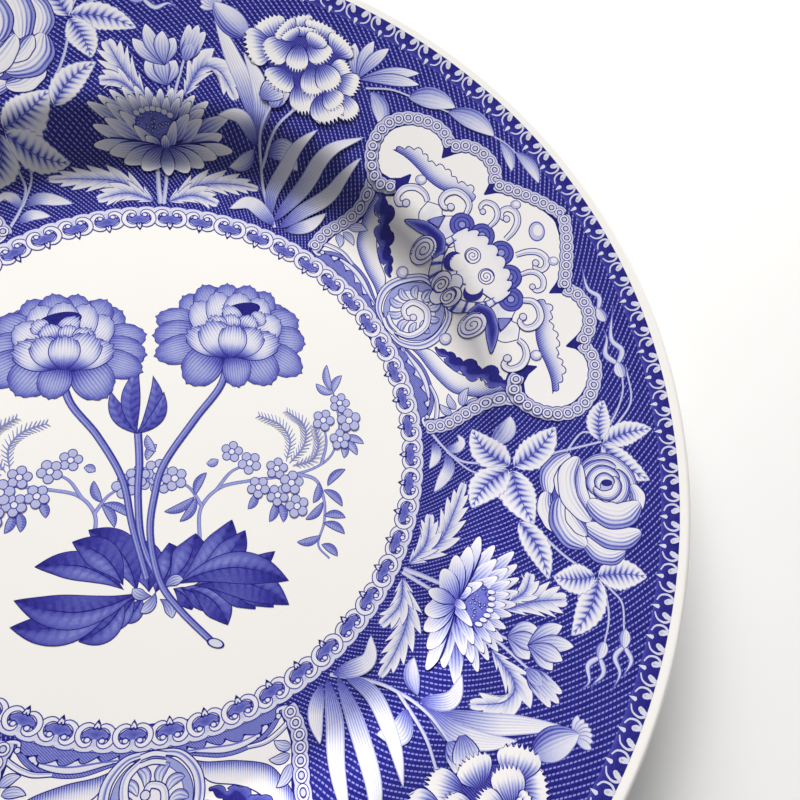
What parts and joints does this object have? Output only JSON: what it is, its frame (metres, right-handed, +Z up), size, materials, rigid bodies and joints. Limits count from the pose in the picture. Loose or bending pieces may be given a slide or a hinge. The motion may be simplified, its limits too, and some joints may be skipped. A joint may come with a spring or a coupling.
{
  "type": "dinner plate",
  "caption": "Round china dinner plate with a blue transfer-printed flower pattern, a wide sloping rim and a turned foot ring.",
  "frame": {"origin": "centre of the plate, on the surface that its foot ring stands on", "axes": "+Z up through the plate's centre, +Y towards the top of the bouquet, +X to the bouquet's right"},
  "size_m": [0.2666, 0.2666, 0.0221],
  "materials": {
    "china": "warm white fired body, matt where bare",
    "glaze": "clear gloss",
    "blue_print": "cobalt colour fired onto the body",
    "pale_print": "cobalt line drawing, mostly open"
  },
  "bodies": {
    "root": {"plate_body": "china", "glaze_coat": "glaze", "foot_recess_glaze": "glaze", "centre_bouquet_print": "pale_print", "well_scroll_border_print": "blue_print", "edge_border_print": "blue_print", "panel_print_1": "blue_print", "spray_print_1": "blue_print", "panel_print_2": "blue_print", "spray_print_2": "blue_print", "panel_print_3": "blue_print", "spray_print_3": "blue_print"}
  },
  "joints": []
}
